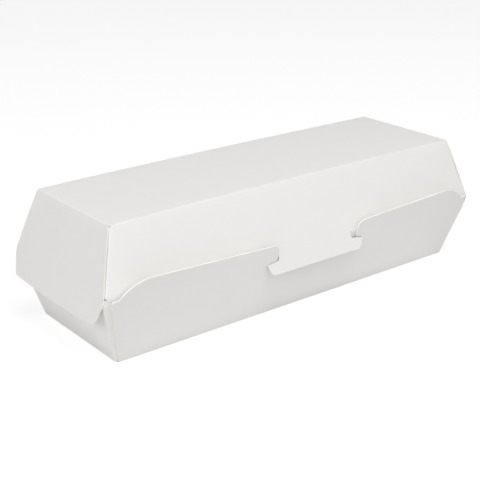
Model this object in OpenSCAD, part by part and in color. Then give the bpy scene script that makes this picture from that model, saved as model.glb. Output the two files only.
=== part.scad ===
// Clamshell hot dog box folded from one die-cut sheet of white card.
// The tray carries the lid on the fold along its rear rim. The lid's front
// panel shuts inside the tray's front wall, and a tongue in its middle passes
// out through a notch, where two ears hook below the notch's noses. On both
// sides of the tongue, a lip of the panel reaches down behind the front wall.
//
// Axes: X along the length, the lock faces -Y, Z up. Origin: centre of the
// base on the table. Every size is in millimetres, over the outside faces.

/* [Card] */
// Thickness of the card
board = 0.6; // [0.4:0.05:1]
// Clearance between the lid and the tray where they pass each other
fit_gap = 0.3; // [0.2:0.05:0.6]

/* [Tray] */
// Length of the base between its end folds
base_l = 210; // [190:1:220]
// Width of the base between its front and back folds
base_w = 65; // [58:1:72]
// Length of the tray along its rim
rim_l = 228; // [222:1:240]
// Width of the tray across its rim
rim_w = 81; // [76:1:90]
// Height of the rim above the table
rim_h = 31; // [28:0.5:36]
// Width of the glue tabs folded round the corners
tab_w = 16; // [8:1:24]
// Distance of the end walls' upper edge below the rim
end_drop = 1; // [0.5:0.5:3]
// Height over the rim of the peaks that stand up from the tabs at the corners
peak_h = 4.2; // [3:0.1:4.4]

/* [Front wall outline] */
// Height of the shoulders over the rim at their outer ends
shoulder_outer = 10.6; // [8:0.1:14]
// Height of the shoulders over the rim beside the notch
shoulder_inner = 7.1; // [6:0.1:8]
// Distance of a shoulder's outer end from the rim corner
shoulder_inset = 13; // [13:0.5:24]
// Radius at the shoulder's outer end
shoulder_r = 17; // [8:1:18]
// Height over the rim of the low step between a shoulder and the wall's cut end
step_h = 2.9; // [2:0.1:4]
// Distance of the step's inner end from the rim corner
step_l = 6.5; // [5:0.1:6.8]
// Distance of the front wall's cut ends from the corners at the base
foot_cut = 1.1; // [0.5:0.1:2]
// Distance of the front wall's cut ends from the corners at the rim
cut_back = 2.4; // [1:0.1:3]

/* [Lock] */
// Sideways place of the notch, to the right of the middle
lock_offset = 5.6; // [-8:0.1:8]
// Sideways place of the tongue in the notch, to the right of its middle
tongue_shift = -1.5; // [-2:0.1:2]
// Width of the tongue over its ears
tongue_w = 61; // [54:1:70]
// Drop of the tongue's lower edge below the rim
tongue_drop = 7.5; // [6:0.1:9]
// Length that each ear reaches out past the neck
ear = 7.2; // [6:0.1:10]
// Radius of the tongue's lower corners
tongue_r = 3; // [1:0.5:4]
// Smallest clearance beside the neck in the notch
neck_gap = 0.5; // [0.3:0.1:3]

/* [Lid] */
// Overall height of the closed box
height = 64.5; // [60:0.1:72]
// Length of the top between its end folds
top_l = 210; // [190:1:220]
// Width of the top between its front and back folds
top_w = 62.5; // [56:0.5:70]
// Depth that the end flaps hang below the rim
flap_drop = 8.2; // [6:0.1:12]
// Narrowing of each flap on either side towards its lower edge
flap_taper = 5; // [2:0.5:10]
// Bow of each flap's lower edge, deepest in the middle
flap_bow = 0.8; // [0:0.1:2]
// Height over the rim at which the end panels start to narrow
flap_kink = 2.5; // [1:0.5:5]
// Radius at the lower corners of the front panel
panel_r = 6; // [6:0.5:9]
// Depth below the ears' roots of the front panel's lip, which hangs inside the tray
lip_drop = 1.8; // [1.6:0.1:4]

/* [Lid fold] */
// Furthest opening of the lid, in degrees
open_max = 175; // [90:1:176]

/* [Hidden] */

card = "#f1f0ec";
// Depth of the overlap by which glued layers sink into each other
glue = 0.04;
// The folds are thinner than the card by this much, so no face only touches
fold_ease = 0.02;
half = board / 2;
// Slope and inner radius of the tabs' free edges
tab_slope = 2;
tab_r = 4;
// Widths of a corner peak at its shoulder and at its foot, and its slope
peak_w = 2.2;
peak_foot = 4.2;
peak_slope = 0.9;
// Fall of an ear's upper edge towards its tip, and its play under the nose
ear_slope = 0.8;
ear_play = 0.2;
// Width of each ear that covers the wall beside the pocket, and the pocket's height
ear_cover = 1.5;
pocket_h = 2;
// Radius at the lip's lower corners
lip_round = 1;
// Radii in the lock: shoulder, nose, neck root, small corners
shoulder_round = 4;
nose_round = 2;
root_round = 0.8;
small_round = 0.5;
// Widening of the notch towards the shoulder, and draw-in of the tongue's foot
nose_ease = 0.4;
foot_in = 2;
// Radii at the end flaps' sides and lower corners
kink_round = 8;
flap_round = 2;
// Finest turn of one straight piece of a rounded cut
arc_step = 7.5;
$fn = 32;

// Half sizes of the tray to the middle of the card
base_x = base_l / 2 - half;
base_y = base_w / 2 - half;
rim_x = rim_l / 2 - half;
rim_y = rim_w / 2 - half;
wall_h = rim_h - half;
// Outward lean of the tray's walls
tray_lean_y = atan((rim_y - base_y) / wall_h);
tray_lean_x = atan((rim_x - base_x) / wall_h);

// Half sizes of the lid to the middle of the card; its ends pass outside the tray
top_x = top_l / 2 - half;
top_y = top_w / 2 - half;
lid_h = height - half - rim_h;
lid_x = rim_x + board / cos(tray_lean_x) + fit_gap;
lid_lean_y = atan((rim_y - top_y) / lid_h);
lid_lean_x = atan((lid_x - top_x) / lid_h);

// A layer glued inside a leaning panel lies this far in from it, level
tray_lap_y = (board - glue) / cos(tray_lean_y);
lid_lap_x = (board - glue) / cos(lid_lean_x);

// Height over the rim of the lid front's lower edge, clear of the tray's wall
cross_slope = tan(tray_lean_y) + tan(lid_lean_y);
wall_level = half / cos(tray_lean_y) + half / cos(lid_lean_y);
panel_rise = (wall_level + fit_gap) / cross_slope;

// The lid's rear panel starts this far from the fold's axis, so that its
// lower edge stays clear of the tray's back wall when the lid is laid back
fold_left = 180 - open_max + tray_lean_y + lid_lean_y;
fold_start = (half * (1 + cos(fold_left)) + fit_gap / 3) / sin(fold_left);

// Lock: half widths, and heights over the rim
tongue_x = tongue_w / 2;
neck_x = tongue_x - ear;
nose_x = neck_x + neck_gap + abs(tongue_shift);
ear_root = -panel_rise;
ear_tip = ear_root - ear_slope;
nose_low = ear_root - ear_play;
pocket_x = tongue_x - ear_cover;
notch_floor = nose_low - pocket_h;

function unit(v) = v / norm(v);

// Arc of radius r that rounds the corner p between its neighbours a and b
function rounded(a, p, b, r) =
    let (
        u = unit(a - p),
        v = unit(b - p),
        angle = acos(u * v) / 2,
        centre = p + unit(u + v) * r / sin(angle),
        from = p + u * r / tan(angle) - centre,
        to = p + v * r / tan(angle) - centre,
        start = atan2(from[1], from[0]),
        turn = (atan2(to[1], to[0]) - start + 540) % 360 - 180,
        steps = max(1, round(abs(turn) / arc_step))
    )
    [for (k = [0:steps]) centre + r * [cos(start + turn * k / steps), sin(start + turn * k / steps)]];

// Outline in a panel's own plane: corners are [across, height, radius], and
// the heights are stretched along the panel's lean
function outline(corners, lean) =
    let (
        n = len(corners),
        flat = [for (c = corners) [c[0], c[1] / cos(lean)]]
    )
    [for (i = [0:n - 1])
        each corners[i][2] > 0
            ? rounded(flat[(i + n - 1) % n], flat[i], flat[(i + 1) % n], corners[i][2])
            : [flat[i]]];

function flipped(corners) =
    [for (i = [len(corners) - 1:-1:0]) [-corners[i][0], corners[i][1], corners[i][2]]];

function shifted(corners, by) = [for (c = corners) [c[0] + by, c[1], c[2]]];

// Sheet of card whose outline rises from the line y, z along X. A positive
// lean tips it towards -Y.
module sheet(corners, y, z, lean) {
    translate([0, y, z])
        rotate([90 + lean, 0, 0])
            linear_extrude(board, center = true)
                polygon(outline(corners, lean));
}

// Rounded fold along the middle of the card, just short of the corners a and b
module fold(a, b) {
    run = b - a;
    length = norm(run);
    translate(a + run * board / length)
        rotate([0, acos(run[2] / length), atan2(run[1], run[0])])
            cylinder(h = length - 2 * board, d = board - fold_ease);
}

module both_ends() {
    children();
    mirror([1, 0, 0])
        children();
}

// Across the tray's front at height h over the table, to the middle of the card
function tray_end(h) = base_x + (h - half) * tan(tray_lean_x);

// Right end of the front wall, from the base fold over the step to the shoulder's top
front_end = [
    [tray_end(half) - foot_cut, 0, 0],
    [tray_end(rim_h - end_drop) - cut_back, wall_h - end_drop, nose_round],
    [tray_end(rim_h - end_drop) - cut_back, wall_h + step_h, root_round],
    [rim_x - step_l, wall_h + step_h, nose_round],
    [rim_x - shoulder_inset, wall_h + shoulder_outer, shoulder_r]
];

// Right side of the notch, from the shoulder's inner end to the notch's floor
notch_side = [
    [nose_x + nose_ease, wall_h + shoulder_inner, shoulder_round],
    [nose_x, wall_h + nose_low, nose_round],
    [pocket_x, wall_h + nose_low, small_round],
    [pocket_x, wall_h + notch_floor, 2 * small_round]
];

module tray_front() {
    right = concat(front_end, shifted(notch_side, lock_offset));
    left = concat(shifted(flipped(notch_side), lock_offset), flipped(front_end));
    sheet(concat(right, left), -base_y, half, tray_lean_y);
    fold([-tray_end(half) + foot_cut, -base_y, half], [tray_end(half) - foot_cut, -base_y, half]);
}

// The back wall ends in the fold that the lid turns on
module tray_back() {
    side = [
        [tray_end(half) - foot_cut, 0, 0],
        [tray_end(rim_h) - foot_cut, wall_h, 0]
    ];
    mirror([0, 1, 0])
        sheet(concat(side, flipped(side)), -base_y, half, tray_lean_y);
    fold([-tray_end(half) + foot_cut, base_y, half], [tray_end(half) - foot_cut, base_y, half]);
    fold([-tray_end(rim_h) + foot_cut, rim_y, rim_h], [tray_end(rim_h) - foot_cut, rim_y, rim_h]);
}

// The peak that fills a front corner between the front wall's cut end and the lid
corner_peak = [
    [tray_end(rim_h - end_drop) - half, wall_h + peak_h, root_round],
    [tray_end(rim_h - end_drop) - peak_w, wall_h + peak_h - peak_slope, root_round],
    [tray_end(rim_h - end_drop) - peak_foot, wall_h - end_drop, small_round]
];

// One end wall with the glue tabs folded round both of its corners
module tray_end_wall() {
    top = rim_h - end_drop;
    low_y = base_y - tray_lap_y;
    high_y = low_y + (top - half) * tan(tray_lean_y);
    high_x = tray_end(top);
    side = [[low_y, 0, 0], [high_y, top - half, 0]];
    rotate([0, 0, 90])
        sheet(concat(side, flipped(side)), -base_x, half, tray_lean_x);
    fold([base_x, -low_y, half], [base_x, low_y, half]);
    for (m = [0, 1])
        mirror([0, m, 0]) {
            fold([base_x, -low_y, half], [high_x, -high_y, top]);
            sheet(concat(
                [[base_x, 0, 0], [high_x, top - half, 0]],
                m == 0 ? corner_peak : [],
                [
                    [high_x - tab_w, top - half - tab_slope, tab_r],
                    [base_x - tab_w, tab_slope, tab_r]
                ]
            ), -low_y, half, tray_lean_y);
        }
}

module tray() {
    color(card)
        union() {
            translate([0, 0, half])
                cube([2 * base_x, 2 * base_y, board], center = true);
            tray_front();
            tray_back();
            both_ends()
                tray_end_wall();
        }
}

// Across the lid's front at height h over the rim, to the middle of its corner fold
function lid_corner(h) = lid_x - lid_lap_x - h * tan(lid_lean_x);

// Ends of the lip: clear of the tray's glue tabs, and beside the neck
lip_end = base_x - tab_w - panel_rise - root_round;
lip_slit = root_round + fit_gap;

// Right half of the lid's front panel, from its top fold down to the neck
lid_front_side = [
    [lid_corner(lid_h), lid_h, 0],
    [lid_corner(panel_rise), panel_rise, panel_r]
];

// Right side of the tongue, from the panel's lower edge to the tongue's foot
tongue_side = [
    [neck_x, panel_rise, root_round],
    [neck_x, ear_root, small_round],
    [tongue_x, ear_tip, root_round],
    [tongue_x - foot_in, -tongue_drop, tongue_r]
];

// The lip to the right of a tongue at middle, from its fold down behind the
// front wall. Over the ear, which is cut from the same card, it is shallower.
module lid_lip(middle) {
    y = -rim_y + panel_rise * tan(lid_lean_y);
    near = middle + neck_x + lip_slit;
    past_ear = middle + tongue_x + lip_slit;
    over_ear = ear_root - panel_rise;
    sheet([
        [near, 0, 0],
        [near, over_ear, small_round],
        [past_ear, over_ear, small_round],
        [past_ear, over_ear - lip_drop, lip_round],
        [lip_end, over_ear - lip_drop, lip_round],
        [lip_end, 0, 0]
    ], y, rim_h + panel_rise, tray_lean_y);
    fold([near, y, rim_h + panel_rise], [lip_end, y, rim_h + panel_rise]);
}

module lid_front() {
    middle = lock_offset + tongue_shift;
    right = concat(lid_front_side, shifted(tongue_side, middle));
    left = concat(shifted(flipped(tongue_side), middle), flipped(lid_front_side));
    sheet(concat(right, left), -rim_y, rim_h, -lid_lean_y);
    fold([-lid_corner(lid_h), -top_y, rim_h + lid_h], [lid_corner(lid_h), -top_y, rim_h + lid_h]);
    lid_lip(middle);
    mirror([1, 0, 0])
        lid_lip(-middle);
}

// The back panel hangs from the top's rear fold down to the rim fold
module lid_back() {
    start = fold_start * cos(lid_lean_y);
    side = [[lid_corner(lid_h), lid_h, 0], [lid_corner(start), start, 0]];
    mirror([0, 1, 0])
        sheet(concat(side, flipped(side)), -rim_y, rim_h, -lid_lean_y);
    fold([-lid_corner(lid_h), top_y, rim_h + lid_h], [lid_corner(lid_h), top_y, rim_h + lid_h]);
}

// One end panel, outermost at its corners, with the flap that hangs over the
// tray's end wall. The front and back panels fold round behind it. Its upper
// corners are cut off, so that the top's fold ends in a relief.
module lid_end_panel() {
    relief_h = lid_h - half;
    side = [
        [top_y - half, lid_h, 0],
        [rim_y - relief_h * tan(lid_lean_y), relief_h, 0],
        [rim_y - flap_kink * tan(lid_lean_y), flap_kink, kink_round],
        [rim_y - flap_taper, -flap_drop, flap_round]
    ];
    low_edge = [for (k = [0.9:-0.2:-0.9])
        [k * (rim_y - flap_taper), -flap_drop - flap_bow * (1 - k * k), 0]];
    rotate([0, 0, 90])
        sheet(concat(side, low_edge, flipped(side)), -lid_x, rim_h, -lid_lean_x);
    fold([top_x, -top_y, rim_h + lid_h], [top_x, top_y, rim_h + lid_h]);
    tab_low = panel_rise + panel_r * 0.8;
    for (m = [0, 1])
        mirror([0, m, 0]) {
            corner_low = [lid_corner(tab_low), -rim_y + tab_low * tan(lid_lean_y), rim_h + tab_low];
            corner_high = [lid_corner(lid_h), -top_y, rim_h + lid_h];
            fold(corner_low, corner_high);
            lid_tab(tab_low);
        }
}

// Glue tab behind the end panel, from the corner fold inwards; it stops short of the top
module lid_tab(low) {
    high = lid_h - board;
    low_y = rim_y - low * tan(lid_lean_y);
    high_y = rim_y - high * tan(lid_lean_y);
    rotate([0, 0, 90])
        sheet([
            [-high_y, high, 0],
            [-low_y, low, 0],
            [-low_y + tab_w, low + tab_slope, tab_r],
            [-high_y + tab_w, high - tab_slope, tab_r]
        ], -lid_x + lid_lap_x, rim_h, -lid_lean_x);
}

module lid() {
    color(card)
        union() {
            translate([0, 0, rim_h + lid_h])
                cube([2 * top_x, 2 * top_y, board], center = true);
            lid_front();
            lid_back();
            both_ends()
                lid_end_panel();
        }
}

tray();
lid();
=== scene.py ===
"""Looks of a clamshell hot dog box folded from one die-cut sheet of white card.

The tray and the lid are made again as sheets of card: flat panels cut to their
outlines, joined along rounded creases, bowed a little as folded card is, and
given the card's thickness. A strip of creased card joins the two along the rear
rim. Sizes are in millimetres until a mesh is finished.
"""

import logging
import math
from dataclasses import dataclass, field
from enum import Enum
from typing import Callable, Sequence

import bmesh
import bpy
from mathutils import Matrix, Vector

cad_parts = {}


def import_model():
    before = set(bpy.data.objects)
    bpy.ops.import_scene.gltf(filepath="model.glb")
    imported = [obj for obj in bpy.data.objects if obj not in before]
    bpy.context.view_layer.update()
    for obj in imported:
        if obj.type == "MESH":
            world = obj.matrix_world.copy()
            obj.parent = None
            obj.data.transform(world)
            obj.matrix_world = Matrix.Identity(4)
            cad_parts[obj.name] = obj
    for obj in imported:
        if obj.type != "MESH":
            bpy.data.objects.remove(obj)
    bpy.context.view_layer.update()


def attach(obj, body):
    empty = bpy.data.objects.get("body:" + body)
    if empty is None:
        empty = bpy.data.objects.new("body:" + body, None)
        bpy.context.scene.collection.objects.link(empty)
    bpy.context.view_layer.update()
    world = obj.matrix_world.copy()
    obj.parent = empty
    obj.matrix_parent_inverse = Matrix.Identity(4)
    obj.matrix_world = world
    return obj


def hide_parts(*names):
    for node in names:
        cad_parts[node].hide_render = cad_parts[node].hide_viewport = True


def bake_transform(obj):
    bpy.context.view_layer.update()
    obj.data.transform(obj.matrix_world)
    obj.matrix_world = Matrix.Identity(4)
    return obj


LOG = logging.getLogger("hot_dog_box")
MM = 0.001
CREASE_MASK = "crease"

Corner = tuple[float, float, float]
Bow = Callable[[Vector], Vector]


class Side(Enum):
    """The four sides of the box, by the level direction that each faces."""

    FRONT = (0.0, -1.0)
    RIGHT = (1.0, 0.0)
    BACK = (0.0, 1.0)
    LEFT = (-1.0, 0.0)

    @property
    def outward(self) -> Vector:
        """The level direction that the side faces."""
        return Vector((*self.value, 0.0))

    @property
    def along(self) -> Vector:
        """The level direction that runs across the side, seen from outside."""
        return Vector((-self.value[1], self.value[0], 0.0))


class Face(Enum):
    """Which face of the card a finish covers, as its place among the materials."""

    COATED = 0
    BACK = 1
    CUT = 2


class Colour(Enum):
    """Card colours, as linear red, green and blue."""

    COAT_LIGHT = (0.880, 0.871, 0.852)
    COAT_DEEP = (0.862, 0.852, 0.832)
    BACK_LIGHT = (0.862, 0.850, 0.822)
    BACK_DEEP = (0.838, 0.824, 0.792)
    PULP_LIGHT = (0.935, 0.922, 0.885)
    PULP_DEEP = (0.900, 0.882, 0.838)
    FLOOR = (0.86, 0.86, 0.86)
    FLOOR_SEEN = (0.30, 0.30, 0.30)

    @property
    def rgba(self) -> tuple[float, float, float, float]:
        """The colour with full alpha, as a socket takes it."""
        return (*self.value, 1.0)


def placed(name: str, data: bpy.types.ID) -> bpy.types.Object:
    """Adds an object to the scene, at the origin.

    Args:
        name: Its name.
        data: Its mesh, lamp or camera.

    Returns:
        The object.
    """
    made = bpy.data.objects.new(name, data)
    bpy.context.scene.collection.objects.link(made)
    return made


# --- Shader node groups that the finishes share


@dataclass(frozen=True)
class Noise:
    """A noise: waves to the metre, octaves, their strength and a stretch along the box."""

    scale: float
    detail: float
    rough: float
    stretch: tuple[float, float, float] | None = None


STRANDS = Noise(2400.0, 3.0, 0.6, (0.22, 1.0, 1.0))
FLECKS = Noise(5200.0, 1.0, 0.5)
SHADE = Noise(900.0, 2.0, 0.55, (0.4, 1.0, 1.0))
WAVE = Noise(34.0, 1.0, 0.4)
CLOUD = Noise(150.0, 3.0, 0.55, (0.6, 1.0, 1.0))
CHIPS = Noise(1700.0, 3.0, 0.7)
STRAND_SHARE = 0.7
SHADE_SHARE = 0.45
CHIP_LEVEL = 0.52
CHIP_EDGE = 5.0


@dataclass(frozen=True)
class NodeKit:
    """Adds nodes and links to one node tree."""

    tree: bpy.types.NodeTree

    def node(self, kind: str, **settings: object) -> bpy.types.Node:
        """Adds a node.

        Args:
            kind: Its type, such as ShaderNodeMath.
            **settings: Properties of the node to set.

        Returns:
            The new node.
        """
        made = self.tree.nodes.new(kind)
        for key, value in settings.items():
            setattr(made, key, value)
        return made

    def feed(self, socket: bpy.types.NodeSocket, source: object) -> None:
        """Gives an input its source.

        Args:
            socket: The input.
            source: An output socket to link, or the value to set.
        """
        if isinstance(source, bpy.types.NodeSocket):
            self.tree.links.new(source, socket)
        else:
            socket.default_value = source

    def math(self, operation: str, *sources: object, clamp: bool = False) -> bpy.types.NodeSocket:
        """Adds a Math node.

        Args:
            operation: Its operation.
            *sources: What feeds its inputs, in order.
            clamp: Whether its result stays between 0 and 1.

        Returns:
            Its output.
        """
        made = self.node("ShaderNodeMath", operation=operation, use_clamp=clamp)
        for socket, source in zip(made.inputs, sources):
            self.feed(socket, source)
        return made.outputs[0]

    def noise(self, vector: object, kind: Noise) -> bpy.types.NodeSocket:
        """Adds a Noise Texture, with its vector stretched where the noise is.

        Args:
            vector: What feeds its vector.
            kind: The noise.

        Returns:
            Its Fac output.
        """
        if kind.stretch:
            stretched = self.node("ShaderNodeVectorMath", operation="MULTIPLY")
            self.feed(stretched.inputs[0], vector)
            self.feed(stretched.inputs[1], kind.stretch)
            vector = stretched.outputs[0]
        made = self.node("ShaderNodeTexNoise", noise_dimensions="3D")
        self.feed(made.inputs["Vector"], vector)
        self.feed(made.inputs["Scale"], kind.scale)
        self.feed(made.inputs["Detail"], kind.detail)
        self.feed(made.inputs["Roughness"], kind.rough)
        return made.outputs["Fac"]

    def diffuse(self, colour: Colour) -> bpy.types.NodeSocket:
        """Adds a plain matt shader.

        Args:
            colour: Its colour.

        Returns:
            Its output.
        """
        made = self.node("ShaderNodeBsdfDiffuse")
        self.feed(made.inputs["Color"], colour.rgba)
        return made.outputs[0]

    def background(self, strength: float) -> bpy.types.NodeSocket:
        """Adds a white background.

        Args:
            strength: How bright it is.

        Returns:
            Its output.
        """
        made = self.node("ShaderNodeBackground")
        self.feed(made.inputs["Color"], (1, 1, 1, 1))
        self.feed(made.inputs["Strength"], strength)
        return made.outputs[0]

    def mixed(self, kind: str, factor: object, first: object, second: object) -> bpy.types.NodeSocket:
        """Mixes two shaders or two colours.

        Args:
            kind: "SHADER" or "RGBA".
            factor: What feeds the share of the second.
            first: What feeds the first.
            second: What feeds the second.

        Returns:
            The mix.
        """
        if kind == "SHADER":
            made = self.node("ShaderNodeMixShader")
            sockets = made.inputs[0], made.inputs[1], made.inputs[2]
        else:
            made = self.node("ShaderNodeMix", data_type=kind)
            sockets = made.inputs["Factor"], made.inputs["A"], made.inputs["B"]
        for socket, source in zip(sockets, (factor, first, second)):
            self.feed(socket, source)
        return made.outputs[0] if kind == "SHADER" else made.outputs["Result"]


@dataclass(frozen=True)
class NodeGroup:
    """A shader node group with named inputs and outputs."""

    name: str
    inputs: dict[str, str]
    outputs: tuple[str, ...]

    def open(self) -> tuple[NodeKit, bpy.types.Node, bpy.types.Node]:
        """Starts the group's tree.

        Returns:
            A kit for its nodes, its input node and its output node.
        """
        tree = bpy.data.node_groups.new(self.name, "ShaderNodeTree")
        for label, kind in self.inputs.items():
            tree.interface.new_socket(label, in_out="INPUT", socket_type=kind)
        for label in self.outputs:
            tree.interface.new_socket(label, in_out="OUTPUT", socket_type="NodeSocketFloat")
        kit = NodeKit(tree)
        return kit, kit.node("NodeGroupInput"), kit.node("NodeGroupOutput")


def fibre_group() -> bpy.types.NodeTree:
    """Makes the group for the card's fibres, which lie mostly along the length.

    Returns:
        The node group, with a Height and a Shade output.
    """
    spec = NodeGroup("card_fibres", {"Vector": "NodeSocketVector", "Fineness": "NodeSocketFloat"}, ("Height", "Shade"))
    kit, given, put = spec.open()
    made = kit.node("ShaderNodeVectorMath", operation="SCALE")
    kit.feed(made.inputs[0], given.outputs["Vector"])
    kit.feed(made.inputs["Scale"], given.outputs["Fineness"])
    fine = made.outputs[0]
    flecks = kit.math("MULTIPLY", kit.noise(fine, FLECKS), 1 - STRAND_SHARE)
    kit.feed(put.inputs["Height"], kit.math("MULTIPLY_ADD", kit.noise(fine, STRANDS), STRAND_SHARE, flecks))
    kit.feed(put.inputs["Shade"], kit.noise(fine, SHADE))
    return kit.tree


def cloud_group() -> bpy.types.NodeTree:
    """Makes the group for the slow clouds and waves of a sheet of card.

    Returns:
        The node group, with a Wave and a Cloud output.
    """
    spec = NodeGroup("card_clouds", {"Vector": "NodeSocketVector"}, ("Wave", "Cloud"))
    kit, given, put = spec.open()
    kit.feed(put.inputs["Wave"], kit.noise(given.outputs["Vector"], WAVE))
    kit.feed(put.inputs["Cloud"], kit.noise(given.outputs["Vector"], CLOUD))
    return kit.tree


def crease_group() -> bpy.types.NodeTree:
    """Makes the group for the crushed and slightly cracked coat along a crease.

    Returns:
        The node group, with a Ridge and a Crack output.
    """
    spec = NodeGroup("crease_wear", {"Vector": "NodeSocketVector", "Mask": "NodeSocketFloat"}, ("Ridge", "Crack"))
    kit, given, put = spec.open()
    chips = kit.noise(given.outputs["Vector"], CHIPS)
    cracked = kit.math("MULTIPLY", kit.math("SUBTRACT", chips, CHIP_LEVEL, clamp=True), CHIP_EDGE, clamp=True)
    kit.feed(put.inputs["Crack"], kit.math("MULTIPLY", cracked, given.outputs["Mask"]))
    kit.feed(put.inputs["Ridge"], kit.math("MULTIPLY", chips, given.outputs["Mask"]))
    return kit.tree


@dataclass(frozen=True)
class Effects:
    """The node groups, built once and placed in every material of the card."""

    fibres: bpy.types.NodeTree
    clouds: bpy.types.NodeTree
    creases: bpy.types.NodeTree

    @classmethod
    def build(cls) -> "Effects":
        """Builds the three groups."""
        return cls(fibre_group(), cloud_group(), crease_group())


# --- Finishes


@dataclass(frozen=True)
class CardFinish:
    """Finish of one face of the card."""

    name: str
    light: Colour
    deep: Colour
    fineness: float
    grain_depth: float
    wave_depth: float
    rough_low: float
    rough_high: float
    specular: float
    crack: float

    def material(self, effects: Effects) -> bpy.types.Material:
        """Builds the material.

        Args:
            effects: The shared node groups.

        Returns:
            The finished material.
        """
        made = bpy.data.materials.new(self.name)
        made.use_nodes = True
        kit = NodeKit(made.node_tree)
        shader = made.node_tree.nodes["Principled BSDF"]
        place = kit.node("ShaderNodeTexCoord").outputs["Object"]
        mask = kit.node("ShaderNodeAttribute", attribute_name=CREASE_MASK).outputs["Fac"]

        fibres = kit.node("ShaderNodeGroup", node_tree=effects.fibres)
        kit.feed(fibres.inputs["Vector"], place)
        kit.feed(fibres.inputs["Fineness"], self.fineness)
        clouds = kit.node("ShaderNodeGroup", node_tree=effects.clouds)
        kit.feed(clouds.inputs["Vector"], place)
        creases = kit.node("ShaderNodeGroup", node_tree=effects.creases)
        kit.feed(creases.inputs["Vector"], place)
        kit.feed(creases.inputs["Mask"], mask)

        slow = kit.math("MULTIPLY", clouds.outputs["Cloud"], 1 - SHADE_SHARE)
        shade = kit.math("MULTIPLY_ADD", fibres.outputs["Shade"], SHADE_SHARE, slow)
        tint = kit.mixed("RGBA", shade, self.deep.rgba, self.light.rgba)
        cracks = kit.math("MULTIPLY", creases.outputs["Crack"], self.crack)
        kit.feed(shader.inputs["Base Color"], kit.mixed("RGBA", cracks, tint, Colour.PULP_LIGHT.rgba))

        span = kit.node("ShaderNodeMapRange")
        kit.feed(span.inputs["Value"], shade)
        kit.feed(span.inputs["To Min"], self.rough_high)
        kit.feed(span.inputs["To Max"], self.rough_low)
        kit.feed(shader.inputs["Roughness"], span.outputs["Result"])
        shader.inputs["Specular IOR Level"].default_value = self.specular

        height = kit.math("MULTIPLY", fibres.outputs["Height"], self.grain_depth)
        height = kit.math("MULTIPLY_ADD", clouds.outputs["Wave"], self.wave_depth, height)
        height = kit.math("MULTIPLY_ADD", creases.outputs["Ridge"], 2.0 * self.grain_depth, height)
        bump = kit.node("ShaderNodeBump")
        bump.inputs["Strength"].default_value = 1.0
        bump.inputs["Distance"].default_value = MM
        kit.feed(bump.inputs["Height"], height)
        kit.feed(shader.inputs["Normal"], bump.outputs["Normal"])
        return made


COATED = CardFinish(
    name="coated_card",
    light=Colour.COAT_LIGHT,
    deep=Colour.COAT_DEEP,
    fineness=1.0,
    grain_depth=0.006,
    wave_depth=0.22,
    rough_low=0.50,
    rough_high=0.62,
    specular=0.35,
    crack=0.35,
)
BACK = CardFinish(
    name="uncoated_card",
    light=Colour.BACK_LIGHT,
    deep=Colour.BACK_DEEP,
    fineness=0.8,
    grain_depth=0.014,
    wave_depth=0.22,
    rough_low=0.78,
    rough_high=0.92,
    specular=0.2,
    crack=0.1,
)
CUT = CardFinish(
    name="cut_edge",
    light=Colour.PULP_LIGHT,
    deep=Colour.PULP_DEEP,
    fineness=1.6,
    grain_depth=0.03,
    wave_depth=0.0,
    rough_low=0.85,
    rough_high=0.95,
    specular=0.1,
    crack=0.0,
)


# --- Card, panels and folded sheets


@dataclass(frozen=True)
class CardStock:
    """The card that the blank is cut from."""

    board: float = 0.6
    fold_reach: float = 0.28
    fold_steps: int = 6
    edge_ease: float = 0.07
    layer_gap: float = 0.03
    arc_step: float = 9.0
    weld: float = 0.02
    cut_play: float = 0.01
    edge_angle: float = 60.0

    @property
    def half(self) -> float:
        """Half the card's thickness."""
        return self.board / 2

    def lap(self, lean: float) -> float:
        """Level distance between two glued layers.

        Args:
            lean: Lean of the layers, in radians.

        Returns:
            The distance between the middles of the layers.
        """
        return (self.board + self.layer_gap) / math.cos(lean)


@dataclass(frozen=True)
class Plane:
    """A plane that leans from a level line.

    The line runs across one side of the box, and a positive lean tips the
    plane outwards as it rises.
    """

    side: Side
    out: float
    base: float
    lean: float

    @property
    def matrix(self) -> Matrix:
        """The way from across, up the slope and out of the plane to the box's own axes.

        Returns:
            The matrix.
        """
        across = self.side.along
        up = self.side.outward * math.sin(self.lean) + Vector((0, 0, 1)) * math.cos(self.lean)
        normal = across.cross(up)
        origin = self.side.outward * self.out + Vector((0, 0, self.base))
        return Matrix.Translation(origin) @ Matrix((across, up, normal)).transposed().to_4x4()

    def corner(self, across: float, height: float, radius: float) -> Corner:
        """A corner whose height is level, turned into a distance up the slope."""
        return (across, height / math.cos(self.lean), radius)


@dataclass(frozen=True)
class Level:
    """A level plane, such as the base's or the top's."""

    base: float
    lean: float = 0.0

    @property
    def matrix(self) -> Matrix:
        """From across and deep to the box's own axes."""
        return Matrix.Translation((0, 0, self.base))

    def corner(self, across: float, deep: float, radius: float) -> Corner:
        """A corner of the level panel."""
        return (across, deep, radius)


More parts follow.
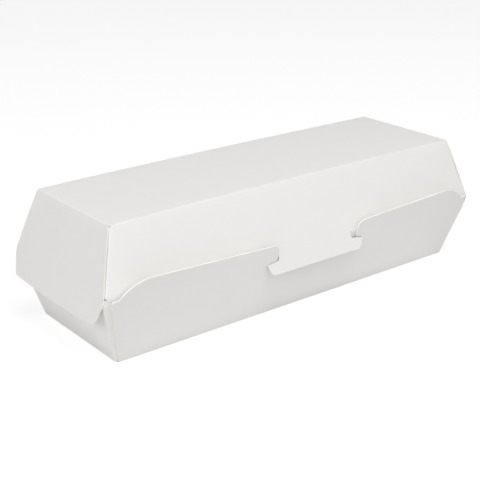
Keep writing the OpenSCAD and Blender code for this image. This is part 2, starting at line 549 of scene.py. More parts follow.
@dataclass(frozen=True)
class Panel:
    """A flat piece of the blank: its plane, and its corners as across, height, radius."""

    plane: Plane | Level
    corners: Sequence[Corner]

    def cut(self, bm: bmesh.types.BMesh, stock: CardStock) -> None:
        """Adds the panel to a mesh as one face with its corners rounded.

        Args:
            bm: The mesh.
            stock: The card, for how finely an arc is cut.
        """
        flat = [self.plane.corner(*corner) for corner in self.corners]
        points = [Vector((c[0], c[1], 0)) for c in flat]
        verts = [bm.verts.new(self.plane.matrix @ p) for p in points]
        bm.faces.new(verts)
        count = len(flat)
        for i, (vert, corner) in enumerate(zip(verts, flat)):
            if corner[2] <= 0:
                continue
            before = points[i - 1] - points[i]
            after = points[(i + 1) % count] - points[i]
            inner = before.angle(after)
            bmesh.ops.bevel(
                bm,
                geom=[vert],
                offset=corner[2] / math.tan(inner / 2),
                offset_type="ABSOLUTE",
                affect="VERTICES",
                segments=max(2, round(math.degrees(math.pi - inner) / stock.arc_step)),
                profile=0.5,
                material=-1,
                clamp_overlap=False,
            )


def flipped(corners: Sequence[Corner]) -> list[Corner]:
    """Turns corners over left to right, and keeps the way that they run.

    Args:
        corners: The corners of one half of an outline.

    Returns:
        The corners of the other half.
    """
    return [(-across, height, radius) for across, height, radius in reversed(corners)]


def moved(corners: Sequence[Corner], by: float) -> list[Corner]:
    """Moves corners sideways.

    Args:
        corners: The corners.
        by: How far.

    Returns:
        The moved corners.
    """
    return [(across + by, height, radius) for across, height, radius in corners]


def ramp(value: float, low: float, high: float) -> float:
    """A smooth rise from 0 to 1.

    Args:
        value: The value.
        low: Where the rise starts.
        high: Where it ends.

    Returns:
        The share, between 0 and 1.
    """
    share = min(1.0, max(0.0, (value - low) / (high - low)))
    return share * share * (3 - 2 * share)


@dataclass
class Sheet:
    """A sheet of card, worked out along the middle of its thickness."""

    name: str
    stock: CardStock

    def finish(self, bm: bmesh.types.BMesh) -> bpy.types.Object:
        """Makes the mesh an object in metres and gives it the card's thickness.

        Args:
            bm: The mesh, in millimetres; it is freed.

        Returns:
            The object, with its thickness and eased edges as modifiers.
        """
        bmesh.ops.scale(bm, vec=(MM, MM, MM), verts=bm.verts)
        self._settle(bm)
        for face in bm.faces:
            face.smooth = True
        mesh = bpy.data.meshes.new(self.name)
        bm.to_mesh(mesh)
        bm.free()
        made = placed(self.name, mesh)
        self._thicken(made)
        return made

    @staticmethod
    def _settle(bm: bmesh.types.BMesh) -> None:
        """Lists the faces in an order that is the same in every run.

        Args:
            bm: The mesh.
        """
        bm.verts.index_update()
        order = sorted(bm.faces, key=lambda face: sorted(vert.index for vert in face.verts))
        rank = {face: place for place, face in enumerate(order)}
        bm.faces.sort(key=rank.get)

    def _thicken(self, made: bpy.types.Object) -> None:
        """Gives the sheet its thickness and eases its cut edges.

        Args:
            made: The object.
        """
        wall = made.modifiers.new("thickness", "SOLIDIFY")
        wall.thickness = self.stock.board * MM
        wall.offset = 0.0
        wall.use_even_offset = True
        wall.use_quality_normals = True
        wall.material_offset = Face.BACK.value
        wall.material_offset_rim = Face.CUT.value
        ease = made.modifiers.new("eased_edges", "BEVEL")
        ease.width = self.stock.edge_ease * MM
        ease.segments = 2
        ease.limit_method = "ANGLE"
        ease.angle_limit = math.radians(self.stock.edge_angle)
        ease.harden_normals = True


@dataclass
class FoldedSheet(Sheet):
    """A sheet of card folded from flat panels that meet along creases."""

    panels: list[Panel]
    stations: dict[int, Sequence[float]]
    bow: Bow
    outer_sign: int

    def build(self) -> bpy.types.Object:
        """Builds the sheet.

        Returns:
            The finished object.
        """
        bm = bmesh.new()
        mask = bm.verts.layers.float.new(CREASE_MASK)
        for panel in self.panels:
            panel.cut(bm, self.stock)
        bmesh.ops.remove_doubles(bm, verts=bm.verts, dist=self.stock.weld)
        self._face_outwards(bm)
        self._crease(bm, mask)
        self._divide(bm)
        for vert in bm.verts:
            vert.co += self.bow(vert.co)
        return self.finish(bm)

    def _crease(self, bm: bmesh.types.BMesh, mask: bmesh.types.BMLayerItem) -> None:
        """Rounds every edge where two panels meet, and marks the rounding's middle.

        Args:
            bm: The mesh.
            mask: The layer that takes the mark.
        """
        shared = [edge for edge in bm.edges if len(edge.link_faces) == 2]
        rounded = bmesh.ops.bevel(
            bm,
            geom=shared,
            offset=self.stock.fold_reach,
            offset_type="OFFSET",
            affect="EDGES",
            segments=self.stock.fold_steps,
            profile=0.5,
            material=-1,
            clamp_overlap=False,
        )
        strips = set(rounded["faces"])
        for vert in {v for face in strips for v in face.verts}:
            vert[mask] = 1.0 if all(face in strips for face in vert.link_faces) else 0.0

    def _divide(self, bm: bmesh.types.BMesh) -> None:
        """Cuts the sheet at its stations, so that it can bow.

        Args:
            bm: The mesh.
        """
        for axis, places in self.stations.items():
            normal = Vector([1.0 if k == axis else 0.0 for k in range(3)])
            for place in places:
                bmesh.ops.bisect_plane(
                    bm,
                    geom=[*bm.verts, *bm.edges, *bm.faces],
                    dist=self.stock.cut_play,
                    plane_co=normal * place,
                    plane_no=normal,
                )

    def _face_outwards(self, bm: bmesh.types.BMesh) -> None:
        """Points every face out of the box.

        Args:
            bm: The mesh.
        """
        bmesh.ops.recalc_face_normals(bm, faces=bm.faces)
        level = max(bm.faces, key=lambda face: abs(face.normal.z) * face.calc_area())
        if level.normal.z * self.outer_sign < 0:
            bmesh.ops.reverse_faces(bm, faces=bm.faces)


@dataclass(frozen=True)
class CardFinishes:
    """The finishes of the card's three faces, as materials in their order."""

    materials: tuple[bpy.types.Material, ...]

    @classmethod
    def build(cls, effects: Effects) -> "CardFinishes":
        """Builds the finish of each face of the card.

        Args:
            effects: The shared node groups.

        Returns:
            The finishes.
        """
        finish = {Face.COATED: COATED, Face.BACK: BACK, Face.CUT: CUT}
        return cls(tuple(finish[face].material(effects) for face in Face))

    def dress(self, piece: bpy.types.Object) -> None:
        """Gives a sheet of card its materials."""
        for material in self.materials:
            piece.data.materials.append(material)


# --- Sizes that the tray and the lid share


@dataclass(frozen=True)
class BoxSizes:
    """Sizes that the tray and the lid share, over the outside faces."""

    base_l: float = 210.0
    base_w: float = 65.0
    rim_l: float = 228.0
    rim_w: float = 81.0
    rim_h: float = 31.0
    top_l: float = 210.0
    top_w: float = 62.5
    height: float = 64.0
    fit_gap: float = 0.3
    relief: float = 0.45
    stock: CardStock = field(default_factory=CardStock)

    @property
    def base_x(self) -> float:
        """Half length of the base to the middle of the card."""
        return self.base_l / 2 - self.stock.half

    @property
    def base_y(self) -> float:
        """Half width of the base to the middle of the card."""
        return self.base_w / 2 - self.stock.half

    @property
    def rim_x(self) -> float:
        """Half length of the rim to the middle of the card."""
        return self.rim_l / 2 - self.stock.half

    @property
    def rim_y(self) -> float:
        """Half width of the rim to the middle of the card."""
        return self.rim_w / 2 - self.stock.half

    @property
    def wall_h(self) -> float:
        """Height of the rim over the middle of the base's card."""
        return self.rim_h - self.stock.half

    @property
    def tray_lean_x(self) -> float:
        """Outward lean of the tray's end walls."""
        return math.atan((self.rim_x - self.base_x) / self.wall_h)

    @property
    def tray_lean_y(self) -> float:
        """Outward lean of the tray's front and back walls."""
        return math.atan((self.rim_y - self.base_y) / self.wall_h)

    @property
    def top_x(self) -> float:
        """Half length of the top to the middle of the card."""
        return self.top_l / 2 - self.stock.half

    @property
    def top_y(self) -> float:
        """Half width of the top to the middle of the card."""
        return self.top_w / 2 - self.stock.half

    @property
    def lid_h(self) -> float:
        """Height of the top over the rim, to the middle of the card."""
        return self.height - self.stock.half - self.rim_h

    @property
    def lid_x(self) -> float:
        """Half length of the lid at the rim, outside the tray's ends."""
        return self.rim_x + self.stock.board / math.cos(self.tray_lean_x) + self.fit_gap

    @property
    def lid_lean_x(self) -> float:
        """Inward lean of the lid's end panels."""
        return math.atan((self.lid_x - self.top_x) / self.lid_h)

    @property
    def lid_lean_y(self) -> float:
        """Inward lean of the lid's front and back panels."""
        return math.atan((self.rim_y - self.top_y) / self.lid_h)

    @property
    def panel_rise(self) -> float:
        """Height over the rim of the lid front's lower edge.

        Returns:
            The height, so that the front wall and the lid's front keep their gap.
        """
        slope = math.tan(self.tray_lean_y) + math.tan(self.lid_lean_y)
        wall = self.stock.half / math.cos(self.tray_lean_y) + self.stock.half / math.cos(self.lid_lean_y)
        return (wall + self.fit_gap) / slope


@dataclass(frozen=True)
class LockSizes:
    """Sizes of the tongue and of the notch that it hooks into."""

    offset: float = 5.6
    tongue_shift: float = -1.5
    tongue_w: float = 61.0
    tongue_drop: float = 7.5
    ear: float = 7.2
    neck_gap: float = 0.5
    shoulder: float = 7.1
    nose_ease: float = 0.4
    pocket_inset: float = 1.5
    notch_depth: float = 2.0
    notch_rounds: tuple[float, float, float, float] = (4.0, 2.0, 0.4, 1.0)
    nose_play: float = 0.2
    ear_level: float = -1.35
    ear_tip: float = 0.6
    ear_taper: float = 2.0
    tongue_rounds: tuple[float, float, float, float] = (0.1, 1.0, 0.8, 3.0)

    @property
    def tongue_x(self) -> float:
        """Half width of the tongue."""
        return self.tongue_w / 2

    @property
    def neck_x(self) -> float:
        """Half width of the tongue's neck."""
        return self.tongue_x - self.ear

    @property
    def nose_x(self) -> float:
        """Half width of the notch between its noses."""
        return self.neck_x + self.neck_gap + abs(self.tongue_shift)

    def notch_side(self, box: BoxSizes) -> list[Corner]:
        """Right side of the notch, from the shoulder down to the notch's floor.

        Args:
            box: The box's sizes.

        Returns:
            Corners of the front wall's outline.
        """
        nose_low = box.wall_h - box.panel_rise - self.nose_play
        pocket = self.tongue_x - self.pocket_inset
        shoulder, nose, inner, foot = self.notch_rounds
        return [
            (self.nose_x + self.nose_ease, box.wall_h + self.shoulder, shoulder),
            (self.nose_x, nose_low, nose),
            (pocket, nose_low, inner),
            (pocket, nose_low - self.notch_depth, foot),
        ]

    def tongue_side(self, box: BoxSizes, root: float) -> list[Corner]:
        """Right side of the tongue, from the panel's lower edge to its foot.

        Args:
            box: The box's sizes.
            root: Height over the rim of the panel's lower edge beside the neck.

        Returns:
            Corners of the lid front's outline.
        """
        top, neck, ear, foot = self.tongue_rounds
        return [
            (self.neck_x, root, top),
            (self.neck_x, self.ear_level, neck),
            (self.tongue_x, -box.panel_rise - self.ear_tip, ear),
            (self.tongue_x - self.ear_taper, -self.tongue_drop, foot),
        ]


# --- Tray


@dataclass
class Tray:
    """The tray: a base with four leaning walls, glued at its corners."""

    box: BoxSizes
    lock: LockSizes
    foot_cut: float = 1.1
    cut_back: float = 2.4
    step_h: float = 2.9
    step_l: float = 6.5
    step_r: float = 2.0
    corner_r: float = 0.4
    end_drop: float = 1.0
    tab_w: float = 16.0
    tab_slope: float = 2.0
    tab_r: float = 4.0
    tab_foot: float = 0.6
    peak_h: float = 4.3
    peak_w: float = 3.4
    peak_foot: float = 5.4
    peak_slope: float = 1.0
    peak_r: float = 0.8
    peak_play: float = 0.06
    right_play: float = 0.4
    tuck_reach: float = 3.0
    shoulder_outer: float = 10.6
    shoulder_inset: float = 13.0
    shoulder_r: float = 17.0
    hinge_back: float = 0.8
    wall_bow: float = 0.35
    cuts: dict[int, Sequence[float]] = field(
        default_factory=lambda: {
            0: [k * 14.0 for k in range(-6, 7)],
            1: [-24, -12, 0, 12, 24],
            2: [6, 12, 18, 24, 31.5, 33],
        }
    )

    def _end(self, height: float) -> float:
        """Half length of the tray at a height over the base's card."""
        return self.box.base_x + height * math.tan(self.box.tray_lean_x)

    @property
    def _end_top(self) -> float:
        """Height of the end walls' upper edge over the base's card."""
        return self.box.wall_h - self.end_drop

    @property
    def _tab_y(self) -> float:
        """Half width between the corner folds at the base."""
        return self.box.base_y - self.box.stock.lap(self.box.tray_lean_y)

    def _tab_out(self, height: float) -> float:
        """Half width between the corner folds at a height over the base's card."""
        return self._tab_y + height * math.tan(self.box.tray_lean_y)

    def _inside_lid(self, height: float) -> float:
        """Half length of the room inside the lid's ends at a height over the rim."""
        lean = self.box.lid_lean_x
        return self.box.lid_x - height * math.tan(lean) - self.box.stock.half / math.cos(lean)

    def _base(self) -> Panel:
        """The base, with its corners relieved where three folds meet.

        Returns:
            The panel.
        """
        box = self.box
        x = box.base_x - self.foot_cut
        y = self._tab_y - box.relief
        right = [(x, -box.base_y, 0.0), (box.base_x, -y, 0.0), (box.base_x, y, 0.0), (x, box.base_y, 0.0)]
        return Panel(Level(box.stock.half), [*right, *flipped(right)])

    def _front(self) -> Panel:
        """The front wall, with its raised shoulders and the notch between them.

        Returns:
            The panel.
        """
        box = self.box
        plane = Plane(Side.FRONT, box.base_y, box.stock.half, box.tray_lean_y)
        end = [
            (self._end(0.0) - self.foot_cut, 0.0, 0.0),
            (self._end(self._end_top) - self.cut_back, self._end_top, self.step_r),
            (self._end(self._end_top) - self.cut_back, box.wall_h + self.step_h, self.peak_r),
            (box.rim_x - self.step_l, box.wall_h + self.step_h, self.step_r),
            (box.rim_x - self.shoulder_inset, box.wall_h + self.shoulder_outer, self.shoulder_r),
        ]
        notch = self.lock.notch_side(box)
        right = [*end, *moved(notch, self.lock.offset)]
        left = [*moved(flipped(notch), self.lock.offset), *flipped(end)]
        return Panel(plane, [*right, *left])

    def _back(self) -> Panel:
        """The back wall, which ends just below the fold that the lid turns on.

        Returns:
            The panel.
        """
        box = self.box
        plane = Plane(Side.BACK, box.base_y, box.stock.half, box.tray_lean_y)
        top = box.wall_h - self.hinge_back
        side = [(self._end(0.0) - self.foot_cut, 0.0, 0.0), (self._end(top) - self.foot_cut, top, self.corner_r)]
        return Panel(plane, [*side, *flipped(side)])

    def _end_wall(self, side: Side) -> Panel:
        """One end wall, whose lower corners are relieved for the folds.

        Args:
            side: The side that it faces.

        Returns:
            The panel.
        """
        box = self.box
        plane = Plane(side, box.base_x, box.stock.half, box.tray_lean_x)
        low = [
            (self._tab_y - box.relief, 0.0, 0.0),
            (self._tab_out(self.tab_foot), self.tab_foot, 0.0),
        ]
        front = [*low, *self._peak(self._tab_out)]
        back = [*low, (self._tab_out(self._end_top), self._end_top, 0.0)]
        right, left = (back, front) if side is Side.RIGHT else (front, back)
        return Panel(plane, [*right, *flipped(left)])

    def _peak(self, out: Callable[[float], float]) -> list[Corner]:
        """Outline of the peak on one side of a front corner fold, from the fold inwards.

        Args:
            out: Half width between the folds at a height over the base's card.

        Returns:
            The corners.
        """
        tip, top = self.box.wall_h + self.peak_h, self._end_top
        return [
            (out(tip), tip, 0.0),
            (out(tip) - self.peak_w, tip - self.peak_slope, self.peak_r),
            (out(top) - self.peak_foot, top, self.peak_r),
        ]

    def _tab(self, side: Side, turned: bool) -> Panel:
        """One glue tab, folded round behind the front or back wall.

        Args:
            side: The wall that it is glued behind.
            turned: Whether it is the one at the left end of that wall.

        Returns:
            The panel.
        """
        box = self.box
        plane = Plane(side, self._tab_y, box.stock.half, box.tray_lean_y)
        foot, top = self.tab_foot, self._end_top
        shape = [
            (self._end(foot), foot, 0.0),
            *(self._peak(self._end) if side is Side.FRONT else [(self._end(top), top, 0.0)]),
            (self._end(top) - self.tab_w, top - self.tab_slope, self.tab_r),
            (self._end(foot) - self.tab_w, foot + self.tab_slope, self.tab_r),
        ]
        return Panel(plane, flipped(shape) if turned else shape)

    def _bow(self, point: Vector) -> Vector:
        """How far folded card bulges at a point of the tray.

        Args:
            point: The point, in millimetres.

        Returns:
            The move.
        """
        box = self.box
        share = max(0.0, 1 - (point.x / (box.base_x - self.tab_w)) ** 2)
        up = min(1.0, max(0.0, point.z / box.rim_h))
        out = self.wall_bow * share * math.sin(math.pi * up)
        if abs(point.y) < box.base_y - 1:
            out = 0.0
        return Vector((self._tuck(point), math.copysign(out, point.y), 0))

    def _tuck(self, point: Vector) -> float:
        """How far a peak is pushed in under the lid's end panel.

        Args:
            point: The point, in millimetres.

        Returns:
            The move along the box's length.
        """
        box = self.box
        over = point.z - box.rim_h
        if over <= 0 or abs(point.x) < box.rim_x - self.tuck_reach - 1:
            return 0.0
        wall = self._end(box.wall_h + over)
        play = self.peak_play + (self.right_play if point.x > 0 else 0.0)
        push = max(0.0, wall - (self._inside_lid(over) - box.stock.half - play))
        near = min(1.0, max(0.0, 1 - (wall - abs(point.x)) / self.tuck_reach))
        return math.copysign(push * near, -point.x)

    def build(self) -> bpy.types.Object:
        """Builds the tray's sheet.

        Returns:
            The object.
        """
        ends = [self._end_wall(side) for side in (Side.RIGHT, Side.LEFT)]
        tabs = [self._tab(side, turned) for side in (Side.FRONT, Side.BACK) for turned in (False, True)]
        sheet = FoldedSheet(
            name="tray_sheet",
            stock=self.box.stock,
            panels=[self._base(), self._front(), self._back(), *ends, *tabs],
            stations=self.cuts,
            bow=self._bow,
            outer_sign=-1,
        )
        return sheet.build()

    def dress(self, piece: bpy.types.Object, finishes: CardFinishes) -> None:
        """Finishes the tray and sets it on its body.

        Args:
            piece: The tray's sheet.
            finishes: The finishes of the card.
        """
        finishes.dress(piece)
        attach(piece, "tray")
        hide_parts("tray")


# --- Lid


@dataclass
class Lid:
    """The lid: a top with front, back and end panels, and the lock's tongue."""

    box: BoxSizes
    lock: LockSizes
    tab_w: float = 16.0
    tab_slope: float = 2.0
    tab_r: float = 4.0
    tab_head: float = 0.6
    flap_drop: float = 8.2
    flap_taper: float = 5.0
    flap_bow: float = 0.8
    flap_kink: float = 2.5
    corner_rise: float = 2.6
    corner_slope: float = 4.6
    fold_start: float = 1.11
    lip_drop: float = 1.8
    lip_end: float = 86.0
    lip_slit: float = 0.4
    lip_step: float = 0.2
    top_arch: float = 0.5
    edge_lift: float = 0.35
    lift_reach: float = 9.0
    flare: float = 0.8
    flare_top: float = 15.0
    flare_power: float = 1.8
    flare_from_lock: tuple[float, float] = (22.0, 34.0)
    flare_from_end: tuple[float, float] = (3.0, 12.0)
    flap_hang: float = 0.07
    flap_nip: float = 0.005
    hang_top: float = 6.0
    corner_r: float = 0.4
    foot_fall: float = 0.5
    slope_start: tuple[float, float] = (1.0, 0.6)
    slope_r: float = 1.5
    lip_rounds: tuple[float, float] = (0.3, 1.0)
    head_play: float = 0.05
    kink_play: float = 0.25
    kink_r: float = 8.0
    flap_r: float = 2.0
    foot_shares: tuple[float, ...] = (0.8, 0.6, 0.4, 0.2, 0.0)
    cuts_x: tuple[float, ...] = tuple(k * 12.0 for k in range(-8, 9))
    cuts_by_lock: tuple[float, ...] = (-34, -28, -25, 25, 28, 31, 34)
    cuts_y: tuple[float, ...] = (-26, -20, -10, 0, 10, 20, 26)
    cuts_z: tuple[float, ...] = (25, 28, 31, 34, 35.5, 37, 38.5, 40, 41, 42, 43, 44, 46, 50, 54, 58)

    def _corner(self, height: float) -> float:
        """Half length between the corner folds at a height over the rim."""
        box = self.box
        return box.lid_x - box.stock.lap(box.lid_lean_x) - height * math.tan(box.lid_lean_x)

    @property
    def _tab_low(self) -> float:
        """Height over the rim of the corner folds' lower ends."""
        return self.box.panel_rise + self.corner_rise

    @property
    def _tab_high(self) -> float:
        """Height over the rim of the corner folds' upper ends."""
        return self.box.lid_h - self.tab_head

    def _deep(self, height: float) -> float:
        """Half width of the lid at a height over the rim, to the middle of the card."""
        return self.box.rim_y - height * math.tan(self.box.lid_lean_y)

    def _top(self) -> Panel:
        """The top, with its corners relieved where three folds meet.

        Returns:
            The panel.
        """
        box = self.box
        x = self._corner(box.lid_h) - box.relief
        y = box.top_y - box.relief
        right = [(x, -box.top_y, 0.0), (box.top_x, -y, 0.0), (box.top_x, y, 0.0), (x, box.top_y, 0.0)]
        return Panel(Level(box.rim_h + box.lid_h), [*right, *flipped(right)])

    def _upper(self) -> list[Corner]:
        """Right end of the front or back panel, from the top's fold to the corner fold's foot.

        Returns:
            The corners.
        """
        box = self.box
        return [
            (self._corner(box.lid_h) - box.relief, box.lid_h, 0.0),
            (self._corner(self._tab_high), self._tab_high, 0.0),
            (self._corner(self._tab_low), self._tab_low, 0.0),
            (self._corner(self._tab_low) - box.relief, self._tab_low - self.foot_fall, 0.0),
        ]

    def _front(self) -> Panel:
        """The front panel with the tongue hanging from its lower edge.

        Returns:
            The panel.
        """
        box = self.box
        plane = Plane(Side.FRONT, box.rim_y, box.rim_h, -box.lid_lean_y)
        rise, step = box.panel_rise, self.lip_step
        end = [
            *self._upper(),
            (self._corner(rise) - box.relief, rise + self.slope_start[0], self.slope_start[1]),
            (self._corner(rise) - self.corner_slope, rise + step, self.slope_r),
        ]
        tongue = self.lock.tongue_side(box, rise + step)
        sides = []
        for turn in (1, -1):
            near, far = self._lip_span(turn)
            lip = [(far + step, rise + step, 0.0), (far, rise, 0.0), (near, rise, 0.0), (near - step, rise + step, 0.0)]
            sides.append([*end, *lip, *moved(tongue, turn * self._middle)])
        return Panel(plane, list(reversed([*sides[0], *flipped(sides[1])])))

    @property
    def _middle(self) -> float:
        """Sideways place of the tongue."""
        return self.lock.offset + self.lock.tongue_shift

    def _lip_span(self, turn: int) -> tuple[float, float]:
        """Ends of the lip on one side of the tongue.

        Args:
            turn: 1 for the right side, -1 for the left.

        Returns:
            Its distances from the lid's middle, nearest the tongue first.
        """
        return turn * self._middle + self.lock.neck_x + self.lip_slit, self.lip_end

    def _lip(self, turn: int) -> Panel:
        """The lip on one side of the tongue, which hangs down inside the tray.

        Args:
            turn: 1 for the right side, -1 for the left.

        Returns:
            The panel.
        """
        box = self.box
        plane = Plane(Side.FRONT, self._deep(box.panel_rise), box.rim_h + box.panel_rise, box.tray_lean_y)
        near, far = self._lip_span(turn)
        depth = -2 * box.panel_rise - self.lip_drop
        inner, outer = self.lip_rounds
        shape = [(near, 0.0, 0.0), (near, depth, inner), (far, depth, outer), (far, 0.0, 0.0)]
        return Panel(plane, shape if turn > 0 else flipped(shape))

    def _back(self) -> Panel:
        """The back panel, which starts just over the fold that the lid turns on.

        Returns:
            The panel.
        """
        box = self.box
        plane = Plane(Side.BACK, box.rim_y, box.rim_h, -box.lid_lean_y)
        start = self.fold_start * math.cos(box.lid_lean_y)
        end = [*self._upper(), (self._corner(start) - box.relief, start, self.corner_r)]
        return Panel(plane, list(reversed([*end, *flipped(end)])))

    def _end_panel(self, side: Side) -> Panel:
        """One end panel with the flap that hangs over the tray's end wall.

        Args:
            side: The side that it faces.

        Returns:
            The panel.
        """
        box = self.box
        plane = Plane(side, box.lid_x, box.rim_h, -box.lid_lean_x)
        low = box.rim_y - self.flap_taper
        edge = [
            (box.top_y - box.relief, box.lid_h, 0.0),
            (box.top_y + self.head_play, box.lid_h - self.tab_head, self.corner_r),
            (self._deep(self.flap_kink) - self.kink_play, self.flap_kink, self.kink_r),
            (low, -self.flap_drop, self.flap_r),
        ]
        foot = [(k * low, -self.flap_drop - self.flap_bow * (1 - k * k), 0.0) for k in self.foot_shares]
        right = [*edge, *foot]
        return Panel(plane, list(reversed([*right, *flipped([*edge, *foot[:-1]])])))

    def _tab(self, side: Side, turned: bool) -> Panel:
        """One glue tab, folded round behind an end panel.

        Args:
            side: The end panel that it is glued behind.
            turned: Whether it is the one at the left of that panel.

        Returns:
            The panel.
        """
        box = self.box
        plane = Plane(side, box.lid_x - box.stock.lap(box.lid_lean_x), box.rim_h, -box.lid_lean_x)
        low, high = self._tab_low, self._tab_high
        shape = [
            (self._deep(high), high, 0.0),
            (self._deep(low), low, 0.0),
            (self._deep(low) - self.tab_w, low + self.tab_slope, self.tab_r),
            (self._deep(high) - self.tab_w, high - self.tab_slope, self.tab_r),
        ]
        return Panel(plane, flipped(shape) if turned else shape)

    def _bow(self, point: Vector) -> Vector:
        """How far folded card bulges at a point of the lid.

        Args:
            point: The point, in millimetres.

        Returns:
            The move.
        """
        box = self.box
        height = point.z - box.rim_h
        up = min(1.0, max(0.0, height / box.lid_h))
        share = max(0.0, 1 - (point.x / box.top_x) ** 2)
        along = self._lift(point, height) - self._hang(point, height)
        return Vector((along, -self._flare(point, height), self.top_arch * share * up * up))

    def _flare(self, point: Vector, height: float) -> float:
        """How far the front panel swells outwards behind the front wall's shoulders.

        Args:
            point: The point, in millimetres.
            height: Its height over the rim.

        Returns:
            The move outwards.
        """
        box = self.box
        if point.y > -self._deep(height) + 1 or not box.panel_rise < height < self.flare_top:
            return 0.0
        beside = abs(point.x - self._middle)
        envelope = ramp(beside, *self.flare_from_lock) * ramp(box.rim_x - abs(point.x), *self.flare_from_end)
        down = (self.flare_top - height) / (self.flare_top - box.panel_rise)
        return self.flare * envelope * math.sin(math.pi * down**self.flare_power) ** 2

    def _is_outermost(self, point: Vector, height: float) -> bool:
        """Whether a point lies on an end panel, outside the tabs glued behind it."""
        box = self.box
        return abs(point.x) >= box.lid_x - height * math.tan(box.lid_lean_x) - box.stock.half

    def _hang(self, point: Vector, height: float) -> float:
        """How far the end flaps hang in towards the tray, the right one more than the left.

        Args:
            point: The point, in millimetres.
            height: Its height over the rim.

        Returns:
            The move towards the left.
        """
        if not self._is_outermost(point, height):
            return 0.0
        slope = self.flap_hang if point.x > 0 else -self.flap_nip
        return slope * max(0.0, self.hang_top - height)

    def _lift(self, point: Vector, height: float) -> float:
        """How far an end panel's side edges stand off from the tabs behind them.

        Args:
            point: The point, in millimetres.
            height: Its height over the rim.

        Returns:
            The move along the box's length.
        """
        box = self.box
        if not self._is_outermost(point, height) or height < 0 or height > box.lid_h - 1:
            return 0.0
        near = max(0.0, 1 - (self._deep(height) - abs(point.y)) / self.lift_reach)
        swell = math.sin(math.pi * min(1.0, max(0.0, 1 - height / box.lid_h)) ** 0.8)
        return math.copysign(self.edge_lift * near * near * swell, point.x)

    def build(self) -> bpy.types.Object:
        """Builds the lid's sheet.

        Returns:
            The object.
        """
        ends = [self._end_panel(side) for side in (Side.RIGHT, Side.LEFT)]
        tabs = [self._tab(side, turned) for side in (Side.RIGHT, Side.LEFT) for turned in (False, True)]
        sheet = FoldedSheet(
            name="lid_sheet",
            stock=self.box.stock,
            panels=[self._top(), self._front(), self._back(), *ends, *tabs, self._lip(1), self._lip(-1)],
            stations={
                0: [*self.cuts_x, *(self._middle + k for k in self.cuts_by_lock)],
                1: self.cuts_y,
                2: self.cuts_z,
            },
            bow=self._bow,
            outer_sign=1,
        )
        return sheet.build()

    def dress(self, piece: bpy.types.Object, finishes: CardFinishes) -> None:
        """Finishes the lid and sets it on its body.

        Args:
            piece: The lid's sheet.
            finishes: The finishes of the card.
        """
        finishes.dress(piece)
        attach(piece, "lid")
        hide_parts("lid")


# --- Fold along the rear rim


@dataclass
class RimFold:
    """The creased strip of card along the rear rim, between the tray and the lid."""

    box: BoxSizes
    reach: float = 2.6
    bend_reach: float = 1.0
    turn_reach: float = 0.5
    thinning: float = 0.12
    end_inset: float = 1.2
    rows: int = 16
    columns: int = 14

    def _point(self, along: float) -> Vector:
        """A point of the strip's profile.

        Args:
            along: Its distance from the fold's axis, below 0 on the tray's side.

        Returns:
            The point, in the plane across the box's middle.
        """
        lean = self.box.tray_lean_y if along < 0 else -self.box.lid_lean_y
        rounding = max(0.0, 1 - abs(along) / self.turn_reach) ** 2 * self.turn_reach / 2
        bend = math.tan((self.box.tray_lean_y + self.box.lid_lean_y) / 2) * rounding
        out = math.sin(lean) * abs(along) * (-1 if along < 0 else 1)
        return Vector((0, self.box.rim_y + out - bend, self.box.rim_h + math.cos(lean) * along))

    def build(self) -> bpy.types.Object:
        """Builds the strip.

        Returns:
            The object.
        """
        box = self.box
        bm = bmesh.new()
        mask = bm.verts.layers.float.new(CREASE_MASK)
        bmesh.ops.create_grid(bm, x_segments=self.columns, y_segments=self.rows, size=1.0)
        for vert in bm.verts:
            along = vert.co.y * self.reach
            place = self._point(along)
            place.x = -vert.co.x * (box.rim_x - self.end_inset)
            vert[mask] = max(0.0, 1 - abs(along) / self.bend_reach)
            vert.co = place
        bmesh.ops.recalc_face_normals(bm, faces=bm.faces)
        if sum(face.normal.y for face in bm.faces) < 0:
            bmesh.ops.reverse_faces(bm, faces=bm.faces)
        return Sheet("rim_fold", CardStock(board=box.stock.board - self.thinning)).finish(bm)

    def dress(self, piece: bpy.types.Object, finishes: CardFinishes) -> None:
        """Finishes the strip and bakes its placement into its mesh.

        Args:
            piece: The strip.
            finishes: The finishes of the card.
        """
        finishes.dress(piece)
        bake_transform(piece)


# --- Studio


@dataclass(frozen=True)
class Softbox:
    """A square lamp that points at the box."""

    name: str
    place: tuple[float, float, float]
    size: float
    power: float
    aim: tuple[float, float, float] = (0.0, 0.0, 0.03)

    def build(self) -> bpy.types.Object:
        """Sets up the lamp.

        Returns:
            The lamp's object.
        """
        light = bpy.data.lights.new(self.name, "AREA")
        light.shape = "SQUARE"
        light.size = self.size
        light.energy = self.power
        made = placed(self.name, light)
        made.location = self.place
        toward = Vector(self.aim) - Vector(self.place)
        made.rotation_euler = toward.to_track_quat("-Z", "Y").to_euler()
        return made


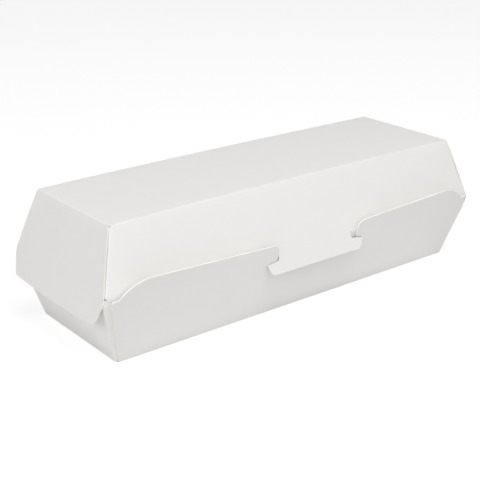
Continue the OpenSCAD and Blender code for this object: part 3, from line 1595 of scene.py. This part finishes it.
@dataclass
class Studio:
    """Floor, surroundings, lamps and camera."""

    ambient: float = 0.15
    floor_size: float = 4.0
    floor_glow: float = 0.81
    lamps: tuple[Softbox, ...] = (
        Softbox("top_lamp", (0.0, -0.4, 1.3), 0.7, 7.4),
        Softbox("left_lamp", (-1.2, -0.2, 0.7), 0.7, 6.8),
        Softbox("steep_lamp", (0.1, -0.75, 1.1), 0.9, 0.6),
        Softbox("near_lamp", (0.0, -0.5, 0.5), 0.4, 0.85),
        Softbox("low_lamp", (0.0, -1.3, 0.25), 0.7, 1.8),
    )
    camera_place: tuple[float, float, float] = (-0.3168, -0.3892, 0.2195)
    camera_tilt: float = 21.42
    camera_turn: float = -38.19
    camera_near: float = 0.01
    floor_play: float = 0.05
    focal_pixels: float = 1055.87
    picture: float = 480.0
    sensor: float = 36.0

    @staticmethod
    def _seen(kit: NodeKit) -> bpy.types.NodeSocket:
        """1 where the background is seen directly, in a gloss or through glass.

        Args:
            kit: The tree that it is added to.

        Returns:
            The mask.
        """
        path = kit.node("ShaderNodeLightPath")
        gloss = kit.math("MAXIMUM", path.outputs["Is Glossy Ray"], path.outputs["Is Transmission Ray"])
        return kit.math("MAXIMUM", path.outputs["Is Camera Ray"], gloss)

    def _world(self) -> None:
        """A white surround that lights the box softly and evenly."""
        world = bpy.data.worlds.new("surround")
        bpy.context.scene.world = world
        world.use_nodes = True
        kit = NodeKit(world.node_tree)
        world.node_tree.nodes.clear()
        mix = kit.mixed("SHADER", self._seen(kit), kit.background(self.ambient), kit.background(1.0))
        kit.feed(kit.node("ShaderNodeOutputWorld").inputs[0], mix)

    def _floor_material(self) -> bpy.types.Material:
        """Pale floor that shows white where it is lit and keeps the box's shadow.

        Returns:
            The material.
        """
        made = bpy.data.materials.new("studio_floor")
        made.use_nodes = True
        kit = NodeKit(made.node_tree)
        made.node_tree.nodes.clear()
        glow = kit.node("ShaderNodeEmission")
        glow.inputs["Strength"].default_value = self.floor_glow
        both = kit.node("ShaderNodeAddShader")
        kit.feed(both.inputs[0], kit.diffuse(Colour.FLOOR_SEEN))
        kit.feed(both.inputs[1], glow.outputs[0])
        mix = kit.mixed("SHADER", self._seen(kit), kit.diffuse(Colour.FLOOR), both.outputs[0])
        kit.feed(kit.node("ShaderNodeOutputMaterial").inputs[0], mix)
        return made

    def _floor(self) -> None:
        """The floor that the box stands on."""
        bm = bmesh.new()
        bmesh.ops.create_grid(bm, x_segments=1, y_segments=1, size=self.floor_size / 2)
        bmesh.ops.translate(bm, vec=(0, 0, -self.floor_play * MM), verts=bm.verts)
        mesh = bpy.data.meshes.new("studio_floor")
        bm.to_mesh(mesh)
        bm.free()
        made = placed("studio_floor", mesh)
        mesh.materials.append(self._floor_material())

    def _camera(self) -> None:
        """The camera, at the photograph's viewpoint."""
        lens = bpy.data.cameras.new("camera")
        lens.sensor_width = self.sensor
        lens.lens = self.focal_pixels / self.picture * self.sensor
        lens.clip_start = self.camera_near
        made = placed("camera", lens)
        made.location = self.camera_place
        made.rotation_euler = (math.radians(90 - self.camera_tilt), 0, math.radians(self.camera_turn))
        bpy.context.scene.camera = made

    def build(self) -> None:
        """Builds the whole studio."""
        bpy.context.scene.view_settings.view_transform = "Standard"
        self._camera()
        self._world()
        self._floor()
        for lamp in self.lamps:
            lamp.build()


def main() -> None:
    """Builds the studio and the box, piece by piece."""
    logging.basicConfig(level=logging.INFO, format="%(name)s: %(message)s")
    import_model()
    Studio().build()
    finishes = CardFinishes.build(Effects.build())
    box, lock = BoxSizes(), LockSizes()
    for part in (Tray(box, lock), Lid(box, lock), RimFold(box)):
        piece = part.build()
        part.dress(piece, finishes)
        LOG.info("%s: %d faces before its thickness", piece.name, len(piece.data.polygons))


if __name__ == "__main__":
    main()
